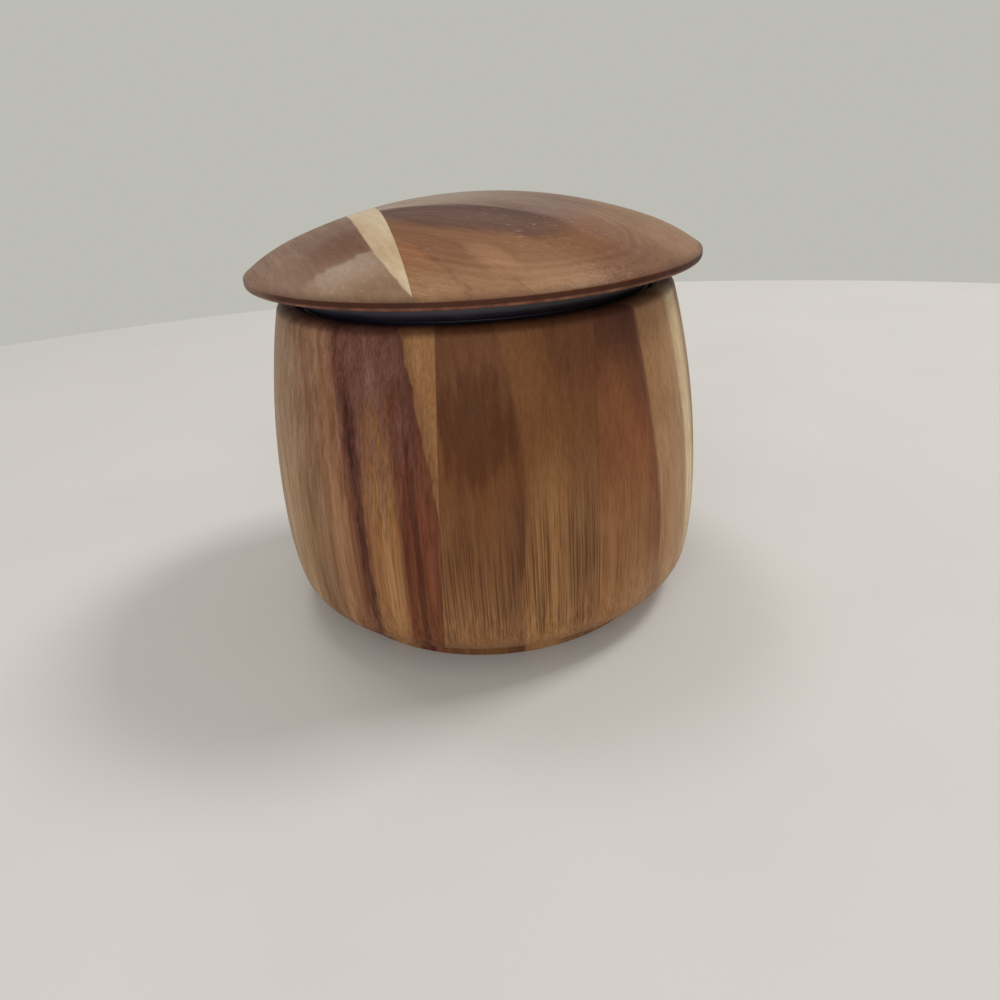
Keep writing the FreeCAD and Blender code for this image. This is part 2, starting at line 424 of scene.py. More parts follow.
def seam_group():
    """A glue line: 1 where the distance to a plane, Facing . place + Offset, is below Width."""
    tree, given, result = group_of(
        "glue_line",
        [("Place", VECTOR, None), ("Facing", VECTOR, (1, 0, 0)), ("Offset", NUMBER, 0.0),
         ("Width", NUMBER, 0.16)],
        [("Mask", NUMBER)])
    along = vector(tree, "DOT_PRODUCT", given["Place"], given["Facing"], output="Value")
    away = calc(tree, "ABSOLUTE", calc(tree, "ADD", along, given["Offset"]))
    tree.links.new(ramp(tree, away, given["Width"], 0.0), result["Mask"])
    return tree


acacia_grain, oiled_wood, glue_line = grain_group(), oiled_group(), seam_group()
GLUE = tone(62, 40, 28)
SATIN = {"IOR": 1.46, "Specular_IOR_Level": 0.12}
WOOD_RELIEF = 0.55, 0.00012


def new_material(name):
    """A new material, its tree and the place on the piece in millimetres."""
    material = bpy.data.materials.new(name)
    material.use_nodes = True
    tree = material.node_tree
    place = node(tree, "ShaderNodeMapping", node(tree, "ShaderNodeTexCoord").outputs["Object"])
    return material, tree, fed(tree, place, Scale=(1000, 1000, 1000)).outputs[0]


def lying(tree, place, degrees):
    """The place seen along the grain: the direction at that angle in plan becomes z."""
    for rotation in ((0, 0, math.radians(90 - degrees)), (math.radians(90), 0, 0)):
        place = fed(tree, node(tree, "ShaderNodeMapping", place), Rotation=rotation).outputs[0]
    return place


def wood_material(name, degrees=None, **growth):
    """A new wood material, its tree, the place on the piece, its x, y and z, and the grain.

    The grain stands upright, or lies at an angle in plan.
    """
    material, tree, place = new_material(name)
    along = place if degrees is None else lying(tree, place, degrees)
    grain = placed(tree, acacia_grain, Place=along, **growth)
    return material, tree, place, node(tree, "ShaderNodeSeparateXYZ", place).outputs, grain


def finished(material, colour, roughness, height, relief, **constants):
    """The material, its shader joined to colour, roughness and relief: strength and metres."""
    tree = material.node_tree
    strength, depth = relief
    bump = fed(tree, node(tree, "ShaderNodeBump"), Strength=strength, Distance=depth, Height=height)
    fed(tree, tree.nodes["Principled BSDF"], Base_Color=colour, Roughness=roughness,
        Normal=bump.outputs[0], **constants)
    return material


def oiled(material, place, grain, colour, seams, **values):
    """The material, finished with the oiled wood over a tone and the marks that the grain gives.

    Each of its seams is a plane, as facing and offset, and the share of the glue's colour.
    """
    tree = material.node_tree
    marks = {what: grain[what] for what in ("Ring", "Streak", "Fibre", "Pore", "Mottle")}
    surface = placed(tree, oiled_wood, Tone=colour, **{**marks, **values})
    colour = surface["Color"]
    for (facing, offset), share in seams:
        line = placed(tree, glue_line, Place=place, Facing=facing, Offset=offset)
        colour = mixed(tree, times(tree, line["Mask"], share), colour, GLUE)
    return finished(material, colour, surface["Roughness"], surface["Height"], WOOD_RELIEF, **SATIN)


def painted_bounce_and_rim_shade(tree, colour, z, most_painted_bounce=0.34):
    """Painted light: paler where the side turns under, for light bounced up from the floor; painted
    shade darkens the rim under the lid.
    """
    # painted bounce light: paler low on the side, above the foot
    painted_bounce = times(tree, ease(tree, z, 36, 12, 0.0, most_painted_bounce),
                  ease(tree, z, FOOT_HEIGHT - 0.4, FOOT_HEIGHT + 1.2))
    colour = tinted(tree, colour, painted_bounce, 158, 116, 76)
    # painted shade on the rim, under the lid
    painted_rim_shade = ease(tree, z, CANISTER_HEIGHT - 2.2, CANISTER_HEIGHT - 0.6, 0.0, 0.6)
    return tinted(tree, colour, painted_rim_shade, 52, 30, 22)


def striped_material():
    """Straw to red-brown stripes across x, browner near the rim, with the sapwood wedge.

    The dark vein is the distance to x = -30.6, bent by a noise of the height; its half width
    falls from 2.2 mm near the rim to 1.15 mm at the belly, it fades towards the rim, and a
    purple-red stain lies along its left.
    """
    vein_x, vein_sway, wedge_lean = -30.6, 3.6, 0.115
    material, tree, place, (x, y, z), grain = wood_material(
        "acacia_striped", Sway=0.9, Seed=31.0, Pore_Width=0.22)
    across, streak, fibre = grain["Across"], grain["Streak"], grain["Fibre"]
    lower = banded(tree, across, [
        (-60, 165, 134, 103), (-52, 160, 127, 96), (-47, 147, 114, 83), (-44.5, 122, 91, 64),
        (-43.2, 131, 97, 67), (-42, 123, 89, 64), (-37, 139, 99, 69), (-34, 126, 86, 60),
        (-32.6, 112, 72, 51), (-29, 126, 84, 56), (-26, 146, 104, 66), (-23.4, 134, 94, 59),
        (-22.4, 138, 96, 60), (-21.2, 122, 79, 50), (-20.4, 96, 52, 35), (-18.6, 104, 57, 39),
        (-17.8, 74, 37, 24), (-17.0, 74, 37, 24), (-16.2, 110, 62, 43), (-14, 108, 62, 42),
        (-12, 102, 59, 40)])
    upper = banded(tree, across, [
        (-60, 158, 130, 108), (-45.4, 139, 107, 83), (-43.6, 127, 94, 72), (-41, 126, 90, 68),
        (-37, 131, 94, 69), (-33.8, 124, 85, 64), (-33.2, 112, 75, 61), (-30, 104, 67, 57),
        (-27, 97, 60, 49), (-25.2, 111, 74, 61), (-22.6, 94, 58, 47), (-19, 97, 60, 49),
        (-16.8, 85, 50, 40), (-14.5, 76, 44, 34)])
    colour = mixed(tree, ease(tree, scaled(tree, streak, 26.0, z), 58, 90), lower, upper)
    shaded = times(tree, ease(tree, across, -21.5, -20.0), ease(tree, z, 42, 62), 0.05)
    colour = tinted(tree, colour, shaded, 70, 38, 28)
    plum = times(tree, ease(tree, across, -33.9, -33.2), ease(tree, across, -29.5, -31.5),
                 ease(tree, z, 44, 62), ease(tree, z, 86, 72, 0.2, 1.0), 0.7)
    colour = tinted(tree, colour, plum, 96, 58, 46)
    level = node(tree, "ShaderNodeCombineXYZ", 0.0, 0.0, z).outputs[0]
    bend = cloud(tree, level, (1, 1, 9), 3.0)[0]
    from_vein = nudged(tree, calc(tree, "SUBTRACT", x, vein_x), bend, vein_sway)
    stained = times(tree, ease(tree, from_vein, -3.4, -0.6), ease(tree, from_vein, 1.8, 0.4),
                    ease(tree, fibre, 0.0, 1.0, 0.5, 0.15))
    colour = tinted(tree, colour, stained, 88, 42, 36)
    from_vein = nudged(tree, calc(tree, "ABSOLUTE", from_vein), fibre, -0.8)
    half_width = ease(tree, z, 40, 84, 1.15, 2.2)
    vein = times(tree, ramp(tree, from_vein, half_width, times(tree, half_width, 0.5)),
                 scaled(tree, ease(tree, streak, 0.3, 0.8), -0.35, 1.0),
                 ease(tree, z, 80, 60, 0.1, 1.0))
    colour = mixed(tree, vein, colour, mixed(tree, fibre, tone(44, 21, 17), tone(76, 40, 33)))
    edge = scaled(tree, z, wedge_lean, nudged(tree, x, streak, 0.7))
    wedge = times(tree, ease(tree, edge, -6.9, -6.3), ease(tree, y, 10, -10))
    sapwood = mixed(tree, grain["Mottle"], tone(130, 89, 54), tone(138, 98, 62))
    sapwood = tinted(tree, sapwood, ease(tree, edge, -3.2, -6.4, 0.0, 0.7), 112, 74, 46)
    # painted bounce light low on the side and painted shade on the rim
    colour = painted_bounce_and_rim_shade(tree, mixed(tree, wedge, colour, sapwood), z, 0.08)
    calm = scaled(tree, wedge, -0.7, ease(tree, x, -50, -42, 0.5, 1.0))
    rows = times(tree, grain["Line"],
                 scaled(tree, wedge, -0.5, ease(tree, x, -37, -31, 0.25, 0.75)))
    return oiled(material, place, grain, colour, [(LEFT_SEAM, 0.5)],
                 Streak=nudged(tree, 0.5, streak, calm), Pore=most(tree, grain["Pore"], rows),
                 Ringing=0.2, Streaking=0.54, Fibring=0.24, Veining=0.38)


block = canister_outline()
left_board = turned_piece("turned_board_left", striped_material(), block,
                          high=left_seam(block[:, 1]), columns=56)
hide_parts("canister_board_left")
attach(left_board, "canister")


# ---------------------------------------------------------------- middle board of the canister
# The wide middle board: dark walnut-brown acacia, cut so that its rings lie flat to the front.
# One paler ring edge climbs it slightly off upright, and open vessels show low on the belly.


def brown_material():
    """Dark brown across x with one paler ring; rows of open vessels below the belly.

    The paler ring's edge bows to the right at half height: x + 0.0037 (z - 50)^2 is kept even
    down to 28 mm, and x alone below. The rows are a noise of 0.3 mm across, drawn out along the
    fibres and along the ring, so they run on to the foot.
    """
    bow_lowest, bow_middle, bow_curve = 28, 50, 0.0037
    material, tree, place, (_, _, z), grain = wood_material(
        "acacia_brown", Sway=0.7, Seed=7.0, Pore_Width=0.21)
    bow = calc(tree, "SUBTRACT", most(tree, z, bow_lowest), bow_middle)
    across = scaled(tree, times(tree, bow, bow), bow_curve, grain["Across"])
    lower = banded(tree, across, [
        (-15, 108, 73, 44), (-8, 104, 68, 41), (0, 108, 71, 43), (3.4, 102, 66, 40),
        (5.6, 90, 56, 34), (7.8, 88, 54, 33), (8.6, 120, 82, 49), (12, 136, 96, 59),
        (16, 132, 93, 58), (20, 119, 84, 53), (23, 116, 81, 53), (27, 114, 79, 51)])
    upper = banded(tree, across, [
        (-15, 97, 59, 31), (-5, 95, 57, 29), (4, 93, 55, 28), (8.2, 91, 54, 28),
        (9.2, 103, 64, 34), (16, 105, 67, 36), (22, 99, 63, 37), (30, 101, 61, 36)])
    high = scaled(tree, grain["Mottle"], 16.0, z)
    colour = mixed(tree, ease(tree, high, 44, 72), lower, upper)
    patch = from_middle(tree, place, (-2, 0, 66), (10.5, math.inf, 14))
    patch = ease(tree, nudged(tree, patch, grain["Streak"], 0.5), 1.15, 0.5)
    patch = times(tree, patch, ease(tree, across, 9.2, 7.6), 0.7)
    colour = tinted(tree, colour, patch, 70, 34, 10)
    # painted shade, high on the right of the board towards the rim under the lid
    shade = times(tree, ease(tree, z, 66, 78, 0.0, 0.5), ease(tree, across, 13, 22))
    # painted bounce light low on the side and painted shade on the rim
    colour = painted_bounce_and_rim_shade(tree, tinted(tree, colour, shade, 78, 44, 31), z)
    opened = scaled(tree, grain["Mottle"], 14.0, z)
    flat = node(tree, "ShaderNodeCombineXYZ", grain["Across"], grain["Depth"], z).outputs[0]
    crest = scaled(tree, grain["Line"], 0.05, cloud(tree, flat, (0.3, 9, 26), 0.6)[0])
    rows = times(tree, ease(tree, crest, 0.53, 0.64), ease(tree, opened, 60, 36),
                 ease(tree, z, 8.5, 15, 0.06, 1.0))
    single = times(tree, grain["Pore"], ease(tree, opened, 70, 50, 0.35, 0.5),
                   ease(tree, z, 12, 30, 0.08, 1.0))
    return oiled(material, place, grain, colour, [(LEFT_SEAM, 0.4), (RIGHT_SEAM, 0.4)],
                 Streak=nudged(tree, 0.5, grain["Streak"], ease(tree, z, 40, 60, 1.0, 0.6)),
                 Fibre=nudged(tree, 0.5, grain["Fibre"], ease(tree, z, 46, 26, 1.0, 1.9)),
                 Pore=most(tree, rows, single), Ringing=0.1, Streaking=0.26, Fibring=0.2,
                 Veining=0.54)


middle_board = turned_piece("turned_board_middle", brown_material(), block,
                            low=left_seam(block[:, 1]), high=RIGHT_SEAM_X, columns=40)
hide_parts("canister_board_middle")
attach(middle_board, "canister")


# ---------------------------------------------------------------- right board of the canister
# The right board: orange-brown heartwood in front, then a tan ring and a stripe of cream
# sapwood, because its rings are stacked from front to back. Glued and turned with the others.


def russet_material():
    """Orange-brown, tan and cream bands across y, darker in front near the rim.

    The bands turn backwards above 60 mm and below 33 mm, by 0.0045 times the square of the way.
    """
    straight_from, straight_to, turn_back = 33, 60, 0.0045
    material, tree, place, (x, _, z), grain = wood_material(
        "acacia_russet", Sway=0.8, Seed=53.0, Stack=1.0, Pore_Width=0.22)
    way = most(tree, calc(tree, "SUBTRACT", z, straight_to),
               calc(tree, "SUBTRACT", straight_from, z), 0.0)
    depth = scaled(tree, times(tree, way, way), -turn_back, grain["Depth"])
    lower = banded(tree, depth, [
        (-60, 133, 91, 58), (-47, 128, 87, 55), (-44.6, 118, 77, 49), (-43, 106, 66, 43),
        (-42.2, 142, 105, 72), (-36, 150, 114, 80), (-30.6, 156, 122, 88), (-28.8, 188, 164, 128),
        (-25, 195, 172, 136), (-22.5, 184, 159, 123), (-20, 152, 120, 86), (-8, 130, 97, 65),
        (8, 112, 76, 49), (22, 124, 86, 55), (38, 104, 68, 44), (60, 118, 82, 52)])
    upper = banded(tree, depth, [
        (-60, 80, 47, 33), (-50, 64, 36, 27), (-44, 56, 30, 23), (-42.9, 72, 43, 31),
        (-42.2, 124, 89, 60), (-34, 142, 106, 73), (-31.4, 150, 114, 81), (-29.6, 186, 162, 127),
        (-24.4, 194, 170, 134), (-21, 146, 114, 81), (-4, 114, 82, 55), (60, 104, 70, 46)])
    high = scaled(tree, grain["Mottle"], 12.0, z)
    colour = mixed(tree, ease(tree, high, 70, 90), lower, upper)
    glow = times(tree, ease(tree, z, 30, 62), ease(tree, depth, -42.2, -44.5),
                 ease(tree, z, 82, 64, 0.05, 0.55))
    colour = tinted(tree, colour, glow, 116, 63, 37)
    ring = times(tree, ease(tree, depth, -48.5, -45.0), ease(tree, depth, -41.9, -42.4),
                 ease(tree, z, 56, 70, 0.0, 0.5))
    colour = tinted(tree, colour, ring, 72, 39, 28)
    by_seam = times(tree, ease(tree, x, 35, 26), ease(tree, high, 46, 66), 0.8)
    dusky = mixed(tree, ease(tree, high, 76, 92), tone(102, 61, 37), tone(78, 45, 30))
    # painted bounce light low on the side and painted shade on the rim
    colour = painted_bounce_and_rim_shade(tree, mixed(tree, by_seam, colour, dusky), z, 0.42)
    # painted bounce light: paler low on the right, where light from the floor falls on the side
    painted_foot_bounce = times(tree, ease(tree, z, 28, 12), ease(tree, x, 28, 42, 0.0, 0.32))
    colour = tinted(tree, colour, painted_foot_bounce, 178, 146, 118)
    rows = times(tree, grain["Line"], ease(tree, z, 70, 30, 0.2, 0.6))
    return oiled(material, place, grain, colour, [(RIGHT_SEAM, 0.2)],
                 Pore=most(tree, grain["Pore"], rows), Ringing=0.06, Streaking=0.16, Fibring=0.2,
                 Staining=0.3, Veining=0.35)


right_board = turned_piece("turned_board_right", russet_material(), block, low=RIGHT_SEAM_X,
                           columns=56)
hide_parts("canister_board_right")
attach(right_board, "canister")


# ---------------------------------------------------------------- left board of the lid
# The smaller of the two glued boards of the lid, turned with the other into one shallow dome.
# Grey-brown heartwood with a dark knotty patch, and a clear wedge of cream sapwood at the seam.

LID_RADIUS, LID_UNDERSIDE, LID_EDGE_TOP, LID_TOP = 59.0, 92.2, 94.2, 109.2
SHOULDER_RADIUS, SHOULDER_HEIGHT = 47.2, 100.65
EDGE_ROUND, ARRIS_ROUND = 0.5, 0.8
LID_SEAM_OFFSET, LID_SEAM_TURN = 23.6, 11.6
SEAM_COS, SEAM_SIN = math.cos(math.radians(LID_SEAM_TURN)), math.sin(math.radians(LID_SEAM_TURN))
LID_SEAM = ((SEAM_COS, SEAM_SIN, 0), LID_SEAM_OFFSET)


def lid_outline():
    """From the crown over the shoulder to the thin edge, and back under to the centre."""
    shoulder = (SHOULDER_RADIUS, SHOULDER_HEIGHT)
    crown, falling = along_arc((0, LID_TOP), (1, 0), shoulder, count=26)
    brow, _ = along_arc(shoulder, falling, (LID_RADIUS, LID_EDGE_TOP), count=14)
    edge = [(LID_RADIUS, LID_EDGE_TOP, EDGE_ROUND), (LID_RADIUS, LID_UNDERSIDE, ARRIS_ROUND),
            (0, LID_UNDERSIDE, 0)]
    rows = np.vstack([sharp(crown), sharp(brow[1:-1]), edge])
    return with_crossings(softened(rows), lambda p: p[:, 0] - LID_SEAM_OFFSET)


def side_of_line(tree, x, y, through, degrees, soft, wander):
    """0 to the right of a line in plan and 1 to its left, looking along its direction."""
    turn = math.radians(degrees)
    left = (-math.sin(turn), math.cos(turn))
    offset = -(left[0] * through[0] + left[1] * through[1])
    away = scaled(tree, x, left[0], scaled(tree, y, left[1], offset))
    return ease(tree, calc(tree, "ADD", away, wander), -soft, soft)


def oil_shade_and_arris_highlight(tree, colour, x, z):
    """The turned edge under the dome is darker, partly because it soaked up more oil and partly by
    painted shade; the paler lower arris is a painted highlight.

    The darkening crept a little way up the dome, unevenly, and least at the left end.
    """
    level = node(tree, "ShaderNodeCombineXYZ", x, 0.0, 0.0).outputs[0]
    uneven = cloud(tree, level, (5, 5, 5), 3.0)[0]
    crept = ease(tree, scaled(tree, uneven, -1.6, z), LID_EDGE_TOP + 0.7, LID_EDGE_TOP - 1.0,
                 0.0, 0.5)
    low = most(tree, crept, ease(tree, z, LID_EDGE_TOP + 0.1, LID_EDGE_TOP - 0.3))
    # painted highlight along the lower arris
    arris_highlight = times(tree, ease(tree, z, LID_UNDERSIDE + 0.95, LID_UNDERSIDE + 0.45),
                  ease(tree, uneven, 0.35, 0.65, 0.3, 1.0))
    # edge tone: oil-soaked end grain darkened further by painted shade
    oil_and_shade_tone = mixed(tree, arris_highlight, tone(55, 23, 13), tone(122, 80, 62))
    return mixed(tree, times(tree, low, ease(tree, x, -54, -41, 0.12, 0.94)), colour, oil_and_shade_tone)


def wear_group():
    """Speck is 1 close to a few chosen points, one to each 8 mm cell at most; Scuff is the crests
    of a 2 by 1 mm noise inside loose patches.
    """
    tree, given, result = group_of(
        "lid_wear", [("Place", VECTOR, None)], [("Speck", NUMBER), ("Scuff", NUMBER)])
    place = given["Place"]
    cells = vector(tree, "MULTIPLY", place, (1 / 8, 1 / 8, 1 / 8))
    points = fed(tree, node(tree, "ShaderNodeTexVoronoi", cells), Scale=1.0).outputs
    chosen = node(tree, "ShaderNodeSeparateColor", points["Color"]).outputs[1]
    ragged = scaled(tree, cloud(tree, place, (0.9, 0.9, 0.9), 2.0)[0], 0.26, points["Distance"])
    specks = times(tree, ease(tree, ragged, 0.185, 0.135), ease(tree, chosen, 0.5, 0.8))
    scuffs = times(tree, ease(tree, cloud(tree, place, (2.3, 1.2, 2.0), 3.0, 0.6)[0], 0.59, 0.68),
                   ease(tree, cloud(tree, place, (16, 16, 16), 1.0)[0], 0.48, 0.6))
    tree.links.new(specks, result["Speck"])
    tree.links.new(scuffs, result["Scuff"])
    return tree


lid_wear = wear_group()


def worn(tree, place, colour):
    """Specks of dried wax and pale scuffs over the tone of a lid board."""
    marks = placed(tree, lid_wear, Place=place)
    colour = tinted(tree, colour, times(tree, marks["Scuff"], 0.18), 188, 152, 128)
    return tinted(tree, colour, times(tree, marks["Speck"], 0.5), 214, 190, 158)


def grey_lid_material():
    """Grey-brown, with a dark patch, a greyed tan patch in front of it and the cream wedge.

    The wedge reaches 7.9 (1 - exp(-t / 19)) mm from the seam, where t is the way from its tip.
    """
    wedge_tip, wedge_widest, wedge_taper = 53.3, 7.9, 19.0
    material, tree, place, (x, y, z), grain = wood_material(
        "acacia_lid_grey", 110, Sway=1.2, Seed=12.0, Pore_Width=0.2)
    ragged = nudged(tree, 0.0, grain["Streak"], 1.4)
    colour = mixed(tree, grain["Mottle"], tone(110, 82, 67), tone(125, 97, 80))
    spot = from_middle(tree, place, (-26, -31, 0), (12, 11, math.inf))
    colour = tinted(tree, colour, ease(tree, spot, 1.2, 0.3, 0.0, 0.85), 98, 64, 47)
    front = side_of_line(tree, x, y, (-29, -40.2), 192.5, 0.9, ragged)
    right = side_of_line(tree, x, y, (-34, -41.5), 218, 1.2, ragged)
    pale = mixed(tree, grain["Mottle"], tone(126, 102, 84), tone(143, 122, 106))
    corner = times(tree, ease(tree, y, -43, -53), ease(tree, x, -32, -24))
    pale = tinted(tree, pale, corner, 120, 91, 67)
    from_axis = from_middle(tree, place, (0, 0, 0), (1, 1, math.inf))
    pale = tinted(tree, pale, ease(tree, from_axis, 53.5, 58.0, 0.0, 0.7), 122, 94, 71)
    colour = mixed(tree, times(tree, front, right), colour, pale)
    from_seam = scaled(tree, x, -SEAM_COS, scaled(tree, y, -SEAM_SIN, -LID_SEAM_OFFSET))
    from_tip = scaled(tree, x, -SEAM_SIN, scaled(tree, y, SEAM_COS, wedge_tip))
    narrowed = calc(tree, "DIVIDE", most(tree, from_tip, 0.0), -wedge_taper)
    reach = scaled(tree, calc(tree, "POWER", math.e, narrowed), -wedge_widest, wedge_widest)
    inside = calc(tree, "SUBTRACT", reach, scaled(tree, ragged, 0.25, from_seam))
    wedge = ease(tree, inside, -0.3, 0.3)
    sapwood = mixed(tree, grain["Mottle"], tone(169, 145, 114), tone(180, 161, 135))
    colour = worn(tree, lying(tree, place, 20), mixed(tree, wedge, colour, sapwood))
    rows = times(tree, most(tree, grain["Pore"], times(tree, grain["Line"], 0.5)),
                 scaled(tree, wedge, -0.85, 1.0))
    # the edge: darker by oil and painted shade, with a painted highlight on its arris
    return oiled(material, place, grain, oil_shade_and_arris_highlight(tree, colour, x, z), [(LID_SEAM, 0.3)],
                 Pore=rows, Ringing=0.06, Streaking=0.12, Fibring=0.07, Staining=0.14, Veining=0.07)


dome = lid_outline()
lid_left = turned_piece("dome_board_left", grey_lid_material(), dome, high=-LID_SEAM_OFFSET,
                        columns=48, turn=LID_SEAM_TURN)
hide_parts("lid_board_left")
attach(lid_left, "lid")


# ---------------------------------------------------------------- right board of the lid
# The larger board of the lid, cut flat to the rings: the dome's curve slices them into a long
# dark eye that runs from the seam to the front right, with warm and peach wood in front of it.

FIGURE_TURN, FIGURE_LEFT, FIGURE_RIGHT = math.radians(24), -30.0, 27.5


def figured_lid_material():
    """Purple-brown eye, orange-brown beside the seam, peach in front, pinkish brown round it.

    The eye's rings are the distance to a line 57.5 mm long, so they turn round its ends; behind
    they run straight, and in front they bulge by 10.5 - 0.0115 (t - 15)^2 mm along the line.
    """
    bulge_height, bulge_curve, bulge_middle = 10.5, 0.0115, 15
    material, tree, place, (x, y, z), grain = wood_material(
        "acacia_lid_figured", -34, Sway=1.4, Seed=77.0, Pore_Width=0.2)
    ragged = nudged(tree, 0.0, grain["Streak"], 1.6)
    wander = nudged(tree, ragged, grain["Mottle"], 2.0)
    long_way = scaled(tree, x, math.cos(FIGURE_TURN), times(tree, y, -math.sin(FIGURE_TURN)))
    short_way = scaled(tree, x, math.sin(FIGURE_TURN), scaled(tree, y, math.cos(FIGURE_TURN), 22.5))
    beyond = most(tree, calc(tree, "SUBTRACT", long_way, FIGURE_RIGHT),
                  calc(tree, "SUBTRACT", FIGURE_LEFT, long_way), 0.0)
    off_middle = calc(tree, "SUBTRACT", long_way, bulge_middle)
    bulge = scaled(tree, times(tree, off_middle, off_middle), -bulge_curve, bulge_height)
    before = calc(tree, "SUBTRACT", 7.4, calc(tree, "ADD", short_way, most(tree, bulge, 1.0)))
    beside = most(tree, calc(tree, "ADD", short_way, 2.2), before, 0.0)
    rings = calc(tree, "SQRT", scaled(tree, beyond, beyond, times(tree, beside, beside)))
    rings = scaled(tree, wander, 0.35, rings)
    contour = fed(tree, node(tree, "ShaderNodeTexNoise", noise_dimensions="1D"),
                  W=rings, Scale=0.7, Detail=2.0).outputs[0]
    core = banded(tree, rings, [
        (0, 88, 60, 51), (4, 88, 60, 49), (6.4, 84, 55, 45), (7.8, 104, 69, 48), (10, 113, 75, 51),
        (14, 116, 78, 51), (20, 108, 72, 49), (26, 112, 76, 52), (34, 118, 82, 58),
        (44, 128, 97, 76)])
    behind = banded(tree, rings, [
        (0, 92, 65, 55), (4, 84, 58, 49), (6.4, 80, 54, 47), (7.8, 106, 80, 70), (12, 112, 87, 78),
        (18, 120, 96, 87), (26, 112, 88, 78), (34, 126, 101, 86), (60, 138, 112, 94)])
    colour = mixed(tree, ease(tree, short_way, -1.5, 1.5), core, behind)
    end = mixed(tree, ease(tree, short_way, 2, 22), tone(111, 71, 42), tone(128, 96, 70))
    colour = mixed(tree, ease(tree, long_way, 24, 38, 0.0, 0.75), colour, end)
    reach = nudged(tree, nudged(tree, long_way, contour, 46), grain["Mottle"], 14)
    # pale greyish wood behind the eye on the crown, turned greyer by a painted sheen
    grey_wood_and_sheen = times(tree, ease(tree, rings, 6.6, 9.5), ease(tree, short_way, 2, 5),
                     ease(tree, rings, 52, 26, 0.35, 1.0), ease(tree, reach, 20, -14), 0.95)
    colour = tinted(tree, colour, grey_wood_and_sheen, 144, 128, 115)
    rosy = from_middle(tree, place, (47, -24, 98), (1, 1, 1))
    colour = tinted(tree, colour, ease(tree, rosy, 12, 3, 0.0, 0.55), 138, 102, 78)
    peach = side_of_line(tree, x, y, (-13.7, -39.4), -57, 0.8, wander)
    fan = side_of_line(tree, x, y, (-1.5, -45.0), -43, 0.8, wander)
    orange = mixed(tree, ease(tree, y, -44, -52), tone(128, 84, 53), tone(124, 83, 51))
    warm = tinted(tree, orange, peach, 116, 77, 51)
    warm = tinted(tree, warm, times(tree, fan, peach, 0.6), 121, 84, 57)
    warm = tinted(tree, warm, ease(tree, y, -46, -56, 0.0, 0.6), 143, 108, 77)
    for side in (peach, fan):
        line = times(tree, side, calc(tree, "SUBTRACT", 1.0, side), 1.5)
        warm = tinted(tree, warm, line, 96, 58, 36)
    flame = fed(tree, node(tree, "ShaderNodeMapping", place), Location=(-38.3, 29.1, 0),
                Rotation=(0, 0, math.radians(48))).outputs[0]
    flame = from_middle(tree, flame, (0, 0, 0), (9, 3.4, math.inf))
    flame = ease(tree, scaled(tree, ragged, 0.2, flame), 1.1, 0.6, 0.0, 0.45)
    warm = tinted(tree, warm, flame, 146, 107, 78)
    front = side_of_line(tree, x, y, (0, -36), 156, 3.5, wander)
    colour = mixed(tree, times(tree, front, ease(tree, x, 44, 30)), colour, warm)
    knot = from_middle(tree, place, (34.5, -41, 0), (6, 8, math.inf))
    colour = tinted(tree, colour, ease(tree, knot, 1.2, 0.4, 0.0, 0.5), 102, 68, 48)
    # the edge: darker by oil and painted shade, with a painted highlight on its arris
    colour = oil_shade_and_arris_highlight(tree, worn(tree, place, colour), x, z)
    rows = most(tree, grain["Pore"], times(tree, grain["Line"], 0.5))
    return oiled(material, place, grain, colour, [(LID_SEAM, 0.4)], Ring=contour, Pore=rows,
                 Ringing=0.4, Streaking=0.1, Fibring=0.07, Staining=0.22, Veining=0.12)


lid_right = turned_piece("dome_board_right", figured_lid_material(), dome, low=-LID_SEAM_OFFSET,
                         columns=72, turn=LID_SEAM_TURN)
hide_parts("lid_board_right")
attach(lid_right, "lid")


# ---------------------------------------------------------------- plug
# A turned acacia disc glued under the lid. It fills the mouth and is grooved for the seal; the
# ridge below the groove keeps the seal from slipping off.

PLUG_RADIUS, GROOVE_RADIUS, PLUG_BOTTOM, RIDGE_TOP = 44.6, 42.8, 77.7, 80.5
GROOVE_ROUND, RIDGE_ROUND, PLUG_ROUND = 0.3, 0.4, 1.2


def plug_material():
    """Plain mid-brown heartwood whose rings lie across the disc."""
    material, tree, place, _, grain = wood_material("acacia_plug", 62, Sway=1.6, Seed=140.0)
    colour = banded(tree, grain["Across"], [
        (-45, 118, 84, 58), (-30, 126, 90, 62), (-26, 104, 70, 48), (-14, 122, 86, 58),
        (-4, 110, 75, 50), (2, 128, 92, 63), (16, 116, 80, 54), (20, 98, 64, 44),
        (30, 120, 85, 58), (45, 130, 95, 66)])
    return oiled(material, place, grain, colour, [])


plug_outline = softened([
    (0, LID_UNDERSIDE, 0), (GROOVE_RADIUS, LID_UNDERSIDE, 0),
    (GROOVE_RADIUS, RIDGE_TOP, GROOVE_ROUND), (PLUG_RADIUS, RIDGE_TOP, RIDGE_ROUND),
    (PLUG_RADIUS, PLUG_BOTTOM, PLUG_ROUND), (0, PLUG_BOTTOM, 0)])
plug = turned_piece("lid_stopper", plug_material(), plug_outline, columns=64)
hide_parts("lid_plug")
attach(plug, "lid")


# ---------------------------------------------------------------- seal
# A moulded ring of dark silicone in the plug's groove. Two soft lips grip the mouth, and a
# rolled collar covers its edge in the gap under the lid.

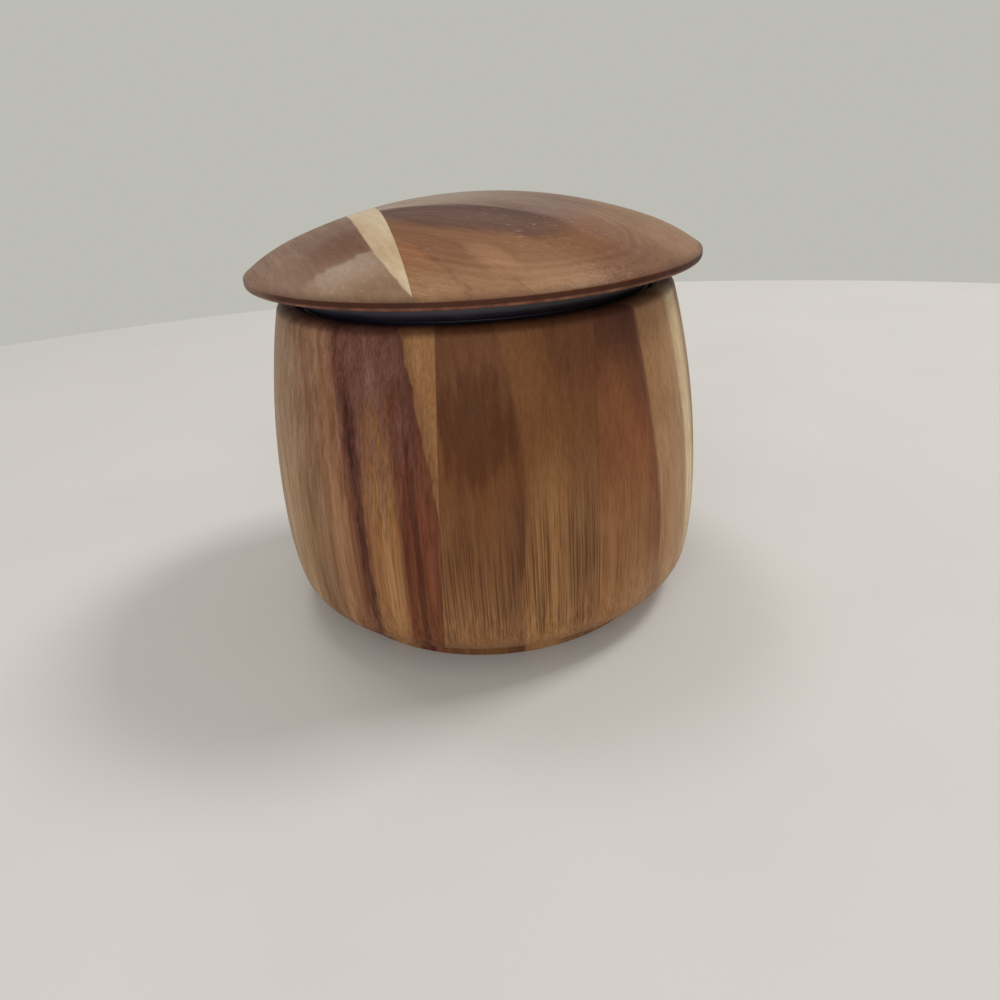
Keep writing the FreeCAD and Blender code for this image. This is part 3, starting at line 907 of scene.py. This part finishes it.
SEAL_INNER, SEAL_WALL_RADIUS, LIP_RADIUS, COLLAR_RADIUS = 42.9, 44.6, 46.2, 48.7
SEAL_BOTTOM, SEAL_MIDDLE, SEAL_TOP, COLLAR_FOOT = 80.6, 86.0, 92.1, 87.3
LIP_HEIGHTS, LIP_ROOT, LIP_TIP = (81.0, 84.4), (0.0, 2.2), (0.65, 1.55)
INNER_ROUND, SEAL_FOOT_ROUND, ROOT_ROUND, TIP_ROUND = 0.4, 0.15, 0.3, 0.35
COLLAR_FOOT_ROUND, COLLAR_TOP_ROUND = 2.4, 0.9
SILICONE_RELIEF = 0.3, 0.00004


def silicone_material():
    """Satin dark silicone with fine dust marks and a soft bloom; painted shade darkens it towards
    the right.
    """
    material, tree, place = new_material("silicone_dark")
    x = node(tree, "ShaderNodeSeparateXYZ", place).outputs[0]
    fine = cloud(tree, place, (0.5, 0.5, 0.5), 3.0, 0.6)[0]
    bloom = scaled(tree, fine, 0.3, cloud(tree, place, (12, 12, 5), 2.0)[0])
    colour = mixed(tree, ease(tree, bloom, 0.4, 0.9), tone(29, 26, 38), tone(42, 39, 53))
    # painted shade: darker and browner towards the right
    colour = tinted(tree, colour, ease(tree, x, -12, 34, 0.0, 0.85), 23, 17, 15)
    rough = ease(tree, bloom, 0.3, 0.9, 0.36, 0.5)
    return finished(material, colour, rough, fine, SILICONE_RELIEF)


lip_corners = [corner for low in LIP_HEIGHTS for corner in (
    (SEAL_WALL_RADIUS, low + LIP_ROOT[0], ROOT_ROUND), (LIP_RADIUS, low + LIP_TIP[0], TIP_ROUND),
    (LIP_RADIUS, low + LIP_TIP[1], TIP_ROUND), (SEAL_WALL_RADIUS, low + LIP_ROOT[1], ROOT_ROUND))]
seal_corners = [
    (SEAL_INNER, SEAL_MIDDLE, 0), (SEAL_INNER, SEAL_BOTTOM, INNER_ROUND),
    (SEAL_WALL_RADIUS, SEAL_BOTTOM, SEAL_FOOT_ROUND), *lip_corners,
    (SEAL_WALL_RADIUS, COLLAR_FOOT, ROOT_ROUND), (COLLAR_RADIUS, COLLAR_FOOT, COLLAR_FOOT_ROUND),
    (COLLAR_RADIUS, SEAL_TOP, COLLAR_TOP_ROUND), (SEAL_INNER, SEAL_TOP, INNER_ROUND),
    (SEAL_INNER, SEAL_MIDDLE, 0)]
seal = turned_piece("silicone_ring", silicone_material(), softened(seal_corners, steps=6),
                    columns=72)
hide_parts("seal_ring")
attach(seal, "seal")


# ---------------------------------------------------------------- floor
# A round table top under a plain pale cloth. It is not part of the object.
# Its top lies a twentieth of a millimetre under the foot.

TABLE_RADIUS, TABLE_CENTRE_Y, TABLE_TOP, TABLE_CORNERS = 750.0, -310.0, -0.05, 180
CLOTH_RELIEF = 0.2, 0.0001


def cloth_material():
    """Pale cloth with a barely visible weave."""
    material, tree, place = new_material("pale_cloth")
    weave = cloud(tree, place, (0.6, 0.6, 0.6), 2.0)[0]
    broad = cloud(tree, place, (60, 60, 60), 2.0)[0]
    colour = mixed(tree, broad, tone(190, 186, 183), tone(196, 192, 189))
    return finished(material, colour, 0.9, weave, CLOTH_RELIEF, Specular_IOR_Level=0.2)


around = np.linspace(0, 2 * math.pi, TABLE_CORNERS + 1)[:-1]
rim_points = np.column_stack([
    TABLE_RADIUS * np.cos(around), TABLE_CENTRE_Y + TABLE_RADIUS * np.sin(around),
    np.full(TABLE_CORNERS, TABLE_TOP)]) / 1000
table_mesh = bpy.data.meshes.new("table_top")
table_mesh.from_pydata(rim_points.tolist(), [], [list(range(TABLE_CORNERS))])
table_top = added("table_top", table_mesh)
table_top.data.materials.append(cloth_material())


# ---------------------------------------------------------------- light and camera
# A pale room all round and three soft lamps: the main one high at the right, a weaker one high
# behind on the left, and a wide weak one in front. The camera looks down from the front.

LIT_POINT = (0, 0, 50)


def posed(thing, side, up, back, place):
    """Turns a lamp or the camera by its three axes and puts it at a place in millimetres."""
    columns = np.column_stack([side, up, back, np.array(place) / 1000])
    thing.matrix_world = Matrix([*columns.tolist(), [0, 0, 0, 1]])


def soft_lamp(name, place, size, power):
    """A square area lamp at a place in millimetres, turned to the middle of the canister."""
    lamp = bpy.data.lights.new(name, "AREA")
    lamp.size, lamp.energy = size / 1000, power
    away = np.subtract(place, LIT_POINT)
    back = away / np.linalg.norm(away)
    side = np.cross([0, 0, 1], back)
    side /= np.linalg.norm(side)
    posed(added(name, lamp), side, np.cross(back, side), back, place)


soft_lamp("lamp_right", (860, 330, 1450), 400, 13.1)
soft_lamp("lamp_above", (-290, 430, 1600), 400, 5.6)
soft_lamp("lamp_front", (-100, -1100, 420), 1100, 8.4)

world = bpy.data.worlds.new("pale_room")
world.use_nodes = True
fed(world.node_tree, world.node_tree.nodes["Background"], Color=tone(190, 190, 183), Strength=0.98)
bpy.context.scene.world = world

VIEW_DOWN, VIEW_TURN, VIEW_ROLL = 0.463, 0.014, -0.065
EYE, LENS, SENSOR, NEAREST = (0, -207.39, 124.27), 27.0, 36.0, 0.01
forward = np.array([math.sin(VIEW_TURN) * math.cos(VIEW_DOWN),
                    math.cos(VIEW_TURN) * math.cos(VIEW_DOWN), -math.sin(VIEW_DOWN)])
level = np.array([math.cos(VIEW_TURN), -math.sin(VIEW_TURN), 0])
upright = np.cross(level, forward)
right = math.cos(VIEW_ROLL) * level + math.sin(VIEW_ROLL) * upright
up = -math.sin(VIEW_ROLL) * level + math.cos(VIEW_ROLL) * upright
camera_data = bpy.data.cameras.new("camera")
camera_data.lens, camera_data.sensor_width, camera_data.clip_start = LENS, SENSOR, NEAREST
camera = added("camera", camera_data)
posed(camera, right, up, -forward, EYE)
bpy.context.scene.camera = camera
bpy.context.scene.view_settings.view_transform = "Standard"
